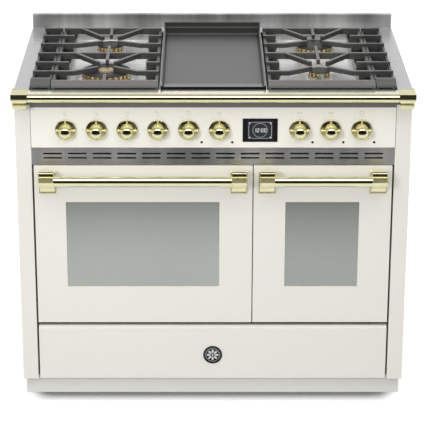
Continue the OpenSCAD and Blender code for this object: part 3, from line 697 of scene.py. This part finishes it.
CAP_WIDTH = 42
CAP_SKIN = 4.3
CAP_BACK = -3
SKIN_OVERLAP = 8
SKIN_STEP = 3
UPPER_TIER = [(25.5, 5.5), (24.6, 4.2), (22.5, 2.6), (19.5, 1.2), (16, 0.4), (12, 0), (1.2, 0), (0.35, 0.35),
              (0, 1.2)]
LOWER_TIER = [(39.5, 5.2), (38.9, 4.7), (36, 4.2), (30.5, 3.2), (29.3, 3.1), (28.5, 3.6), (28.4, 5.5),
              (25.2, 5.5)]
UPPER_SKIN = [(25.5, 0.8), (24, 0), (1, 0), (0, 1)]
LOWER_SKIN = [(39.5, 0.3), (25, 0)]


def corner_caps():
    """Two-tier caps at the ends of the front rail, with thin skins that run back beside the worktop."""
    low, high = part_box("rail_corners")
    back = depth(CAP_BACK)
    skin_front = back - SKIN_OVERLAP * MM
    bm = bmesh.new()

    def tier(end, outer, inner, y0, y1, steps):
        """A block between two distances from the cap's outer side, through (depth below the top, inset)."""
        x0, x1 = sorted((end * (high.x - inner * MM), end * (high.x - outer * MM)))
        stacked(bm, x0, x1, y0, y1, [(high.z / MM - below, inset) for below, inset in steps])

    for end in (-1, 1):
        tier(end, 0, CAP_WIDTH, low.y, back, UPPER_TIER)
        tier(end, 0, CAP_WIDTH, low.y, back, LOWER_TIER)
        tier(end, 0, CAP_SKIN, skin_front, high.y, UPPER_SKIN)
        tier(end, SKIN_STEP, CAP_SKIN, skin_front, high.y - SKIN_STEP * MM, LOWER_SKIN)
    obj = new_piece("corner_caps_cast", bm, "polished_brass", "carcass", "rail_corners")
    satin_flats(obj, lambda n: n.z > 0.99)
    bevel(obj, 0.7, 3, 40)
    smooth(obj)


corner_caps()

BRACKET_HALF = 19
PLATE_MARGIN = 2.5
BRACKET_LINE = [
    (-4, -40), (-7, -38.6), (-9.6, -35.4), (-11, -31.4), (-12.6, -28), (-15.6, -25.4), (-19.8, -23.4),
    (-22.6, -20), (-24.8, -16.6), (-29, -15), (-38, -14.4), (-43.6, -12.4), (-47.8, -9), (-50.4, -5),
    (-51.6, -1.6), (-52, 0.8), (-52, 1.2), (-52, 12.2), (-52, 12.6), (-51.4, 13.8), (-50.2, 14.4),
    (-45, 14.5), (-44.4, 14.9), (-44.1, 15.8), (-43.8, 22.8), (-43.3, 23.6), (-42.4, 24), (-42, 23.97),
    (-14.6, 21.9), (-14, 21.8), (-13, 21.2), (-12.6, 20), (-12.6, 13), (-12, 12), (-4, 12),
]
PLATE_LINE = [(0, -45), (-3, -45), (-4, -44), (-4, 14), (-3, 15), (0, 15)]


def door_furniture(side):
    """The bar of one door and the two brackets that hold it."""
    door = "door_" + side
    low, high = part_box(door + "_bar")
    bar = middle(door + "_bar")
    r = (high.z - low.z) / 2 / MM
    length = (high.x - low.x) / MM
    bm = bmesh.new()
    turned(bm, [(0, 0), (r, 0), (r, length), (0, length)], Vector((low.x, bar.y, bar.z)), (1, 0, 0))
    smooth(new_piece(door + "_bar_drawn", bm, "polished_brass", door, door + "_bar"), 50)
    bm = bmesh.new()
    for x in (low.x - BRACKET_HALF * MM, high.x + BRACKET_HALF * MM):
        for line, half in ((BRACKET_LINE, BRACKET_HALF), (PLATE_LINE, BRACKET_HALF + PLATE_MARGIN)):
            extruded(bm, [(depth(d), bar.z + h * MM) for d, h in line], x - half * MM, x + half * MM)
    obj = new_piece(door + "_brackets_cast", bm, "polished_brass", door, door + "_brackets")
    satin_flats(obj, lambda n: n.y < -0.9999)
    bevel(obj, 0.9, 3, 50)
    smooth(obj, 28)


for side in SIDES:
    door_furniture(side)

# Burners

LAND_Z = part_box("flame_rings")[0].z
BURNERS = [(-275, 165, 63.5), (-275, 412, 35), (275, 412, 50), (275, 165, 28)]
INNER_RADIUS = 27
RING_WALL = 7
RING_TOP = 12.5
PORT_HEIGHTS = (1.5, 11.3)
PORT_SINK = 3
PORTS_PER_MM = 0.36
EXTRA_PORTS = 4
RING_STEPS = 288
INNER_STEPS = 192
INNER_SLOTS = (11.5, 15)
SLOT_STEPS = 4
SLOT_SINK = 1.4
INNER_CROWN = 15
SHADED_DEPTHS = (0.8, 6.5)
SHADED_TOP = 12.2
INNER_PROFILE = [
    (0, 2), (20, 2), (20, 10), (23.4, 11), (24, 11.6), (24, 12), (24, 14.6), (23.6, 15.8), (22.8, 16.6),
    (21.4, 17.1), (20.2, 16.9), (19.4, 16.4), (18.6, 16.4), (17.8, 17), (16.6, 17.3), (8, 17.7), (0, 17.8),
]


def burner_place(burner):
    """Where a burner stands on the hob. A burner is its X, depth and radius in millimetres."""
    return Vector((burner[0] * MM, depth(burner[1]), LAND_Z))


def flame_ring(bm, burner):
    """A ring whose wall steps in at each port."""
    r = burner[2]
    ports = int(r * PORTS_PER_MM) + EXTRA_PORTS

    def ported(radius, h, step):
        open_here = (step * ports * 2 // RING_STEPS) % 2
        in_wall = radius > r - 1 and PORT_HEIGHTS[0] < h < PORT_HEIGHTS[1]
        return radius - (PORT_SINK if open_here and in_wall else 0)

    profile = [(r - RING_WALL, 0), (r, 0), (r, 1.4), (r - 0.2, 2), (r - 0.2, 11), (r, 11.6), (r, RING_TOP),
               (r - RING_WALL, RING_TOP)]
    turned(bm, profile, burner_place(burner), UP_AXIS, RING_STEPS, ported)


def burner_cap(bm, burner, inner=0):
    """A pressed cap, open in the middle where the burner has an inner ring."""
    r = burner[2]
    rim = [(inner, RING_TOP), (r - 0.6, RING_TOP), (r + 0.6, 12.8), (r + 1, 13.6), (r + 0.7, 14.4)]
    crown = [(r - 0.6, 15.2), (r - 4, 16), (r * 0.5, 16.8), (0, 17)]
    if inner:
        crown = [(r - 0.6, 15.1), (r - 4, 15.8), (inner + 12, 16.6), (inner + 2, 16.4), (inner + 0.4, 16),
                 (inner, 15.2)]
    turned(bm, rim + crown, burner_place(burner), UP_AXIS, 128)


def inner_ring(bm, burner):
    """The brass inner ring of the largest burner, with slots round its wall and a dished top."""

    def slotted(radius, h, step):
        in_slot = (step // SLOT_STEPS) % 2 and INNER_SLOTS[0] < h < INNER_SLOTS[1]
        return radius - (SLOT_SINK if in_slot else 0)

    turned(bm, INNER_PROFILE, burner_place(burner), UP_AXIS, INNER_STEPS, slotted)


def burners():
    """Flame rings with their ports, and the caps over them."""
    rings, caps = bmesh.new(), bmesh.new()
    for burner in BURNERS:
        flame_ring(rings, burner)
        burner_cap(caps, burner, INNER_RADIUS if burner is BURNERS[0] else 0)
    inner_ring(rings, BURNERS[0])
    obj = new_piece("flame_rings_ported", rings, "burner_brass", "carcass", "flame_rings")
    obj.data.materials.append(BURNER_TOP)
    obj.data.materials.append(PORT_SHADE)
    # Painted shade: the recessed faces of the ports take a darker brass.
    for face in obj.data.polygons:
        reaches = [((face.center - burner_place(burner)).xy.length / MM, burner[2]) for burner in BURNERS]
        reach, r = min(reaches)
        height = (face.center.z - LAND_Z) / MM
        in_port = SHADED_DEPTHS[0] < r - reach < SHADED_DEPTHS[1]
        if height > INNER_CROWN:
            face.material_index = 1
        elif in_port and height < SHADED_TOP:
            face.material_index = 2
    smooth(obj)
    smooth(new_piece("burner_caps_pressed", caps, "black_enamel", "carcass", "burner_caps"), 50)


burners()

# Lamps, medallion and screen

LAMP_OFFSET = 33
LAMP_PROFILE = [(0, -12), (3, -12), (3, -4), (4.5, -4), (4.5, -1.5), (3, -1.5), (3, 0.5), (2.8, 1),
                (2.1, 1.35), (1.1, 1.5), (0, 1.5)]


def lamps():
    """A small lens low on the right of each oven knob."""
    bm = bmesh.new()
    for name in OVEN_KNOBS:
        place = Vector((middle(name).x + LAMP_OFFSET * MM, FRONT_Y, middle("indicator_lamps").z))
        turned(bm, LAMP_PROFILE, place, FRONT_AXIS, 32)
    smooth(new_piece("lamp_lenses", bm, "lamp_lens", "carcass", "indicator_lamps"))


lamps()

DISC_PROFILE = [(0, 0), (25, 0), (25, 1.7), (24.7, 2.2), (24, 2.5), (22.8, 2.5), (22.2, 2.1), (21.6, 1.6),
                (0, 1.6)]
CIRCLE_PROFILE = [(17.9, 1.4), (18.6, 1.4), (18.6, 2), (17.9, 2)]
BUTTON_PROFILE = [(0, 1.4), (2.4, 1.4), (2.2, 2), (0, 2.2)]
PETALS = 8
PETAL_LINE = [(4, 0), (8, 2.3), (12, 2.9), (15, 1.7), (16, 0), (15, -1.7), (12, -2.9), (8, -2.3)]
PETAL_FOOT = (1.4, 1)
PETAL_TOP = (1.95, 0.97)


def petal(bm, centre, angle):
    """One petal that points away from the rosette's centre at an angle."""
    rings = []
    for height, share in (PETAL_FOOT, PETAL_TOP):
        ring = []
        for r, w in PETAL_LINE:
            x = (r * math.cos(angle) - w * math.sin(angle)) * share * MM
            z = (r * math.sin(angle) + w * math.cos(angle)) * share * MM
            ring.append((centre.x + x, depth(-height), centre.z + z))
        rings.append(ring)
    lofted(bm, rings)


def medallion():
    """A plain disc with a rosette on the drawer."""
    centre = middle("medallion")
    centre.y = FRONT_Y
    bm = bmesh.new()
    turned(bm, DISC_PROFILE, centre, FRONT_AXIS)
    smooth(new_piece("medallion_disc", bm, "medallion_black", "drawer", "medallion"))
    bm = bmesh.new()
    turned(bm, CIRCLE_PROFILE, centre, FRONT_AXIS)
    turned(bm, BUTTON_PROFILE, centre, FRONT_AXIS, 32)
    for k in range(PETALS):
        petal(bm, centre, 2 * math.pi * k / PETALS)
    smooth(new_piece("medallion_rosette", bm, "rack_chrome", "drawer"))


medallion()

BARS_OF = {"0": "abcdef", "1": "bc", "2": "abged"}
DIGIT_W, DIGIT_H = 5.6, 10.8
DIGIT_LINE = 1.4
DIGIT_PITCH = 7.6
COLON_GAP = 2.8
TIME = "1200"
SCREEN_HALF_W, SCREEN_HALF_H = 32, 24.5
SCREEN_DROP = 2
LINE_HALF_W, LINE_HALF_H = 29.5, 21.8
LINE_CUT = 7
DIAL_RADIUS = 19
DIAL_STEPS = 64
STUD_X, STUD_Z = 27.3, 19.6
STUD_PROFILE = [(0, 0), (1.7, 0), (1.7, 0.2), (0, 0.25)]
FRAME_LINE, DIAL_LINE = 1.7, 1.3
TIME_START = 15.6
COLON_RISE = 2.6
COLON_HALF_W, COLON_HALF_H = 0.7, 0.8
SCREEN_UP, LINE_UP, FIGURE_UP = 0.08, 0.16, 0.2


def digit(bm, value, x, z, face, back):
    """A seven-bar figure whose lower left corner is at x, z."""
    right, top, line = x + DIGIT_W, z + DIGIT_H, DIGIT_LINE
    mid = z + DIGIT_H / 2
    bars = {
        "a": (x, right, top - line, top),
        "b": (right - line, right, mid, top),
        "c": (right - line, right, z, mid),
        "d": (x, right, z, z + line),
        "e": (x, x + line, z, mid),
        "f": (x, x + line, mid, top),
        "g": (x, right, mid - line / 2, mid + line / 2),
    }
    for key in BARS_OF[value]:
        slab(bm, *bars[key], face, back)


def display():
    """What the clock screen shows: a frame with cut corners, a round dial and the time."""
    unit = middle("display_unit") / MM
    x, z = unit.x, unit.z - SCREEN_DROP
    face = (FRONT_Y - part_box("display_unit")[0].y) / MM
    bm = bmesh.new()
    slab(bm, x - SCREEN_HALF_W, x + SCREEN_HALF_W, z - SCREEN_HALF_H, z + SCREEN_HALF_H,
         face + SCREEN_UP, face - 0.3)
    new_piece("display_screen", bm, "black_glass", "carcass", material=SCREEN_BACK)

    bm = bmesh.new()
    w, h, cut = LINE_HALF_W, LINE_HALF_H, LINE_CUT
    corners = [(w - cut, h), (w, h - cut), (w, cut - h), (w - cut, -h),
               (cut - w, -h), (-w, cut - h), (-w, h - cut), (cut - w, h)]
    outline_strip(bm, [(x + dx, z + dz) for dx, dz in corners], FRAME_LINE, face + LINE_UP, face)
    angles = [2 * math.pi * k / DIAL_STEPS for k in range(DIAL_STEPS)]
    dial = [(x + DIAL_RADIUS * math.sin(a), z + DIAL_RADIUS * math.cos(a)) for a in angles]
    outline_strip(bm, dial, DIAL_LINE, face + LINE_UP, face)
    new_piece("display_lines", bm, "black_glass", "carcass", material=SCREEN_LINE)

    bm = bmesh.new()
    first_x, foot_z = x - TIME_START, z - DIGIT_H / 2
    for k, value in enumerate(TIME):
        gap = COLON_GAP if k > 1 else 0
        digit(bm, value, first_x + k * DIGIT_PITCH + gap, foot_z, face + FIGURE_UP, face)
    for dz in (-COLON_RISE, COLON_RISE):
        slab(bm, x - COLON_HALF_W, x + COLON_HALF_W, z + dz - COLON_HALF_H, z + dz + COLON_HALF_H,
             face + FIGURE_UP, face)
    for sx in (-1, 1):
        for sz in (-1, 1):
            place = Vector(((x + sx * STUD_X) * MM, depth(-face), (z + sz * STUD_Z) * MM))
            turned(bm, STUD_PROFILE, place, FRONT_AXIS, 20)
    new_piece("display_figures", bm, "black_glass", "carcass", material=SCREEN_DIGIT)


display()

# Trim

LIP_INSET = 9
LIP_HEIGHTS = (840, 853.6)
LIP_DEPTHS = (9, 11.5)


def grate_lip(side):
    """The thin lip under the front bar of a main grate, which closes the gap over the tray; it takes a
    near-black copy of the iron as painted shade.
    """
    low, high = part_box("grate_" + side)
    bm = bmesh.new()
    slab(bm, low.x / MM + LIP_INSET, high.x / MM - LIP_INSET, *LIP_HEIGHTS, -LIP_DEPTHS[0], -LIP_DEPTHS[1])
    new_piece("grate_%s_lip" % side, bm, "cast_iron", "grate_" + side, material=IRON_SHADE)


for side in SIDES:
    grate_lip(side)

DOT_CIRCLE = 35
HOUR_DOT = 1.1
GAS_HOURS = (0, 9, 7)
OVEN_HOURS = (0, 11)
SIGN_RISE = 41
HOB_SIGN = ((-3, 0), (3, 0), (3, 5), (-3, 5))
OWN_DOT, OTHER_DOT = 1.5, 0.8
FRAME_SIGN = ((-5, -1), (-5, 7), (5, 7), (5, -1))
SIGN_BARS = (-4, 0, 4)
SIGN_BAR_HALF_W, SIGN_BAR_H = 0.5, 5
INK = 0.12


def dot(bm, x, z, r):
    turned(bm, [(0, 0), (r, 0), (r, 0.1), (0, INK)], Vector((x * MM, FRONT_Y, z * MM)), FRONT_AXIS, 16)


def printed_marks():
    """Small grey marks printed round the knobs: dots to turn to, and a plain sign over each."""
    bm = bmesh.new()
    z = KNOB_Z / MM
    sign_z = z + SIGN_RISE
    for i, name in enumerate(KNOBS):
        x = middle(name).x / MM
        for hour in GAS_HOURS if name in GAS_KNOBS else OVEN_HOURS:
            a = math.radians(hour * 30)
            dot(bm, x + DOT_CIRCLE * math.sin(a), z + DOT_CIRCLE * math.cos(a), HOUR_DOT)
        if name in GAS_KNOBS:
            for k, (dx, dz) in enumerate(HOB_SIGN):
                dot(bm, x + dx, sign_z + dz, OWN_DOT if k == i else OTHER_DOT)
        elif name in (OVEN_KNOBS[0], OVEN_KNOBS[-1]):
            outline_strip(bm, [(x + dx, sign_z + dz) for dx, dz in FRAME_SIGN], 0.9, INK)
        else:
            for dx in SIGN_BARS:
                bar_x = x + dx
                slab(bm, bar_x - SIGN_BAR_HALF_W, bar_x + SIGN_BAR_HALF_W,
                     sign_z, sign_z + SIGN_BAR_H, INK, 0)
    new_piece("panel_marks", bm, "cream_enamel", "carcass", material=PRINT)


printed_marks()

JOINT_HALF_W = 0.6
JOINT_SINK = 0.4


def joint_lines():
    """Dark strips of painted shade over the joints where the control panel meets the side columns."""
    bm = bmesh.new()
    low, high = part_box("control_panel")
    for x in (low.x / MM, high.x / MM):
        slab(bm, x - JOINT_HALF_W, x + JOINT_HALF_W, low.z / MM, high.z / MM, INK, -JOINT_SINK)
    new_piece("panel_joints", bm, "black_plastic", "carcass", material=JOINT_SHADE)


joint_lines()

# Camera

camera_data = bpy.data.cameras.new("camera")
camera = bpy.data.objects.new("camera", camera_data)
SCENE.collection.objects.link(camera)
SCENE.camera = camera
camera_data.sensor_width = 36
camera_data.lens = 162.8
camera_data.shift_x = 0.0253
camera_data.clip_end = 60
looking_down = math.radians(20.57)
camera.location = (-0.03, -4.88, 2.25)
camera.rotation_euler = (math.radians(90) - looking_down, 0, 0)

# Stage


def plane(name, size, location, rotation=(0, 0, 0)):
    bpy.ops.mesh.primitive_plane_add(size=1, location=location, rotation=rotation)
    obj = bpy.context.object
    obj.name = name
    obj.scale = (size[0], size[1], 1)
    return obj


def floor_material():
    """White floor that keeps the shadow, with a contact shadow painted at the cooker's foot; polished
    surfaces see it run into the dark in front.
    """
    contact_reach = 0.07
    contact_range = (0.45, 0.97)
    darkest = 0.12
    shadow_ends = (0.44, 0.5)
    shadow_outside = 0.15
    bounce = 0.45
    shown_level = 0.85
    light_from, light_level = -1.2, 0.92
    dark_from, dark_level = -2.4, 0.03

    mat = bpy.data.materials.new("floor")
    nodes = Nodes(mat)
    shader = nodes.tree.nodes["Principled BSDF"]
    shader.inputs["Roughness"].default_value = 0.8
    shader.inputs["Specular IOR Level"].default_value = 0.1
    shader.inputs["Emission Color"].default_value = (1, 1, 1, 1)
    path = nodes.add("LightPath").outputs
    place = nodes.parts(nodes.add("NewGeometry").outputs["Position"])
    # Painted contact shadow: ambient occlusion darkens what the camera sees of the floor near the cooker, and
    # only faintly beyond its width.
    contact = nodes.add("AmbientOcclusion", samples=12)
    contact.inputs["Distance"].default_value = contact_reach
    clear = nodes.fit(contact.outputs["AO"], *contact_range, darkest, 1.0)
    off_middle = nodes.joined("ABSOLUTE", place["X"])
    under = nodes.fit(off_middle, *shadow_ends, 1.0, shadow_outside, "SMOOTHSTEP")
    shade = nodes.rest(nodes.product(nodes.rest(clear), under))
    level = nodes.product(nodes.larger(shade, nodes.rest(path["Is Camera Ray"])), bounce)
    tint = nodes.add("CombineColor")
    for socket in tint.inputs[:3]:
        nodes.feed(socket, level)
    nodes.feed(shader.inputs["Base Color"], tint.outputs[0])
    lift = nodes.product(path["Is Camera Ray"], shown_level)
    nodes.feed(shader.inputs["Emission Strength"], nodes.product(lift, shade))

    mirrored = nodes.add("Emission")
    fade = nodes.fit(place["Y"], light_from, dark_from, light_level, dark_level, "SMOOTHSTEP")
    nodes.feed(mirrored.inputs["Strength"], fade)
    choose = nodes.add("MixShader")
    for socket, value in zip(choose.inputs, (path["Is Glossy Ray"], shader.outputs[0], mirrored.outputs[0])):
        nodes.feed(socket, value)
    nodes.surface(choose.outputs[0])
    return mat


def world():
    """A white room for the camera, mirrors and glass, which lights the object at half that level."""
    lit_level, seen_level = 0.5, 1.0
    room = bpy.data.worlds.new("studio")
    SCENE.world = room
    nodes = Nodes(room)
    background = nodes.tree.nodes["Background"]
    background.inputs["Color"].default_value = (1, 1, 1, 1)
    path = nodes.add("LightPath").outputs
    seen = nodes.larger(path["Is Camera Ray"], path["Is Glossy Ray"])
    seen = nodes.larger(seen, path["Is Transmission Ray"])
    nodes.feed(background.inputs["Strength"], nodes.fit(seen, 0, 1, lit_level, seen_level))


def softbox(name, location, target, size, power):
    data = bpy.data.lights.new(name, "AREA")
    data.shape = "RECTANGLE"
    data.size, data.size_y = size
    data.energy = power
    obj = bpy.data.objects.new(name, data)
    SCENE.collection.objects.link(obj)
    obj.location = location
    obj.rotation_euler = (Vector(target) - Vector(location)).to_track_quat("-Z", "Y").to_euler()
    return obj


def card(name, size, location, tilt, axis, start, end):
    """A studio card that only polished surfaces see.

    start and end are a place along the axis and the grey there.
    """
    obj = plane(name, size, location, (math.radians(tilt), 0, 0))
    mat = bpy.data.materials.new(name)
    nodes = Nodes(mat)
    nodes.tree.nodes.remove(nodes.tree.nodes["Principled BSDF"])
    glow = nodes.add("Emission")
    place = nodes.parts(nodes.add("NewGeometry").outputs["Position"])
    grey = nodes.fit(place[axis], start[0], end[0], start[1], end[1], "SMOOTHSTEP")
    nodes.feed(glow.inputs["Strength"], grey)
    nodes.surface(glow.outputs[0])
    obj.data.materials.append(mat)
    obj.visible_camera = obj.visible_diffuse = obj.visible_shadow = obj.visible_transmission = False


floor = plane("floor", (24, 24), (0, 0, 0))
floor.data.materials.append(floor_material())
card("card_front", (14, 3.7), (0, -4.35, 1.85), 90, "Z", (0, 0.01), (3.7, 0.02))
card("card_ceiling", (14, 4.9), (0, 1.35, 3.2), 0, "Y", (-1, 0.36), (3.6, 0.75))

world()
softbox("overhead_softbox", (0, -2.25, 3.1), (0, -2.25, 0), (4.2, 2.3), 51)
fill = softbox("front_softbox", (0, -4.4, 1.5), (0, 0, 0.6), (3.4, 1.8), 28)
fill.visible_glossy = False
key = softbox("key_light", (-1.7, -3.3, 1.9), (0, -0.2, 0.6), (0.5, 0.5), 38)
key.visible_glossy = False
